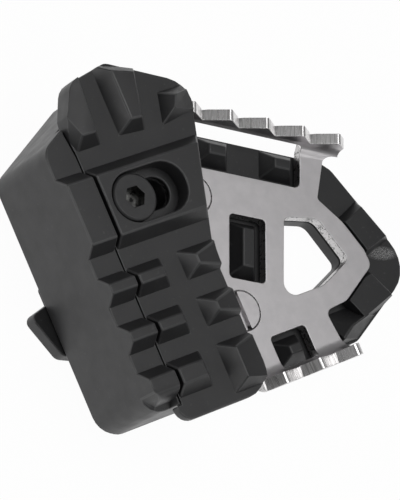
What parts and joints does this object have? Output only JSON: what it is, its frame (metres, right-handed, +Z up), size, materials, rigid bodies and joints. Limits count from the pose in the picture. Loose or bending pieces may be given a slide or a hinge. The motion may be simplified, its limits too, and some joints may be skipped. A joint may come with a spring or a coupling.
{
  "type": "brake pedal extension",
  "caption": "Motorbike brake pedal extension: a ribbed riser pad slides on a toothed stainless step plate over a lugged moulded base.",
  "frame": {"origin": "centre of the bounding box in plan, on the base's underside", "axes": "+X along the tread's ribs, from the riser pad to the step plate; +Y along the pad to its rounded head; +Z up, out of the tread"},
  "size_m": [0.0916, 0.0726, 0.028],
  "materials": {
    "riser_body": "moulded satin",
    "tread_cap": "moulded satin",
    "step_plate": "stainless sheet with bright cut edges",
    "tread_base": "moulded satin",
    "pad_screw": "black oxide",
    "pad_nut": "plain steel",
    "plate_screw": "plain steel",
    "plate_nut": "plain steel"
  },
  "bodies": {
    "base": {"tread_base": "tread_base", "step_plate": "step_plate", "pad_screw": "pad_screw", "pad_nut": "pad_nut", "plate_screw_upper": "plate_screw", "plate_screw_lower": "plate_screw", "plate_nut_upper": "plate_nut", "plate_nut_lower": "plate_nut"},
    "pad": {"riser_body": "riser_body", "tread_cap": "tread_cap"}
  },
  "joints": [
    {"name": "pad_slide", "type": "slide", "parent": "base", "child": "pad", "axis": [1, 0, 0], "range_m": [-0.0075, 0]}
  ]
}
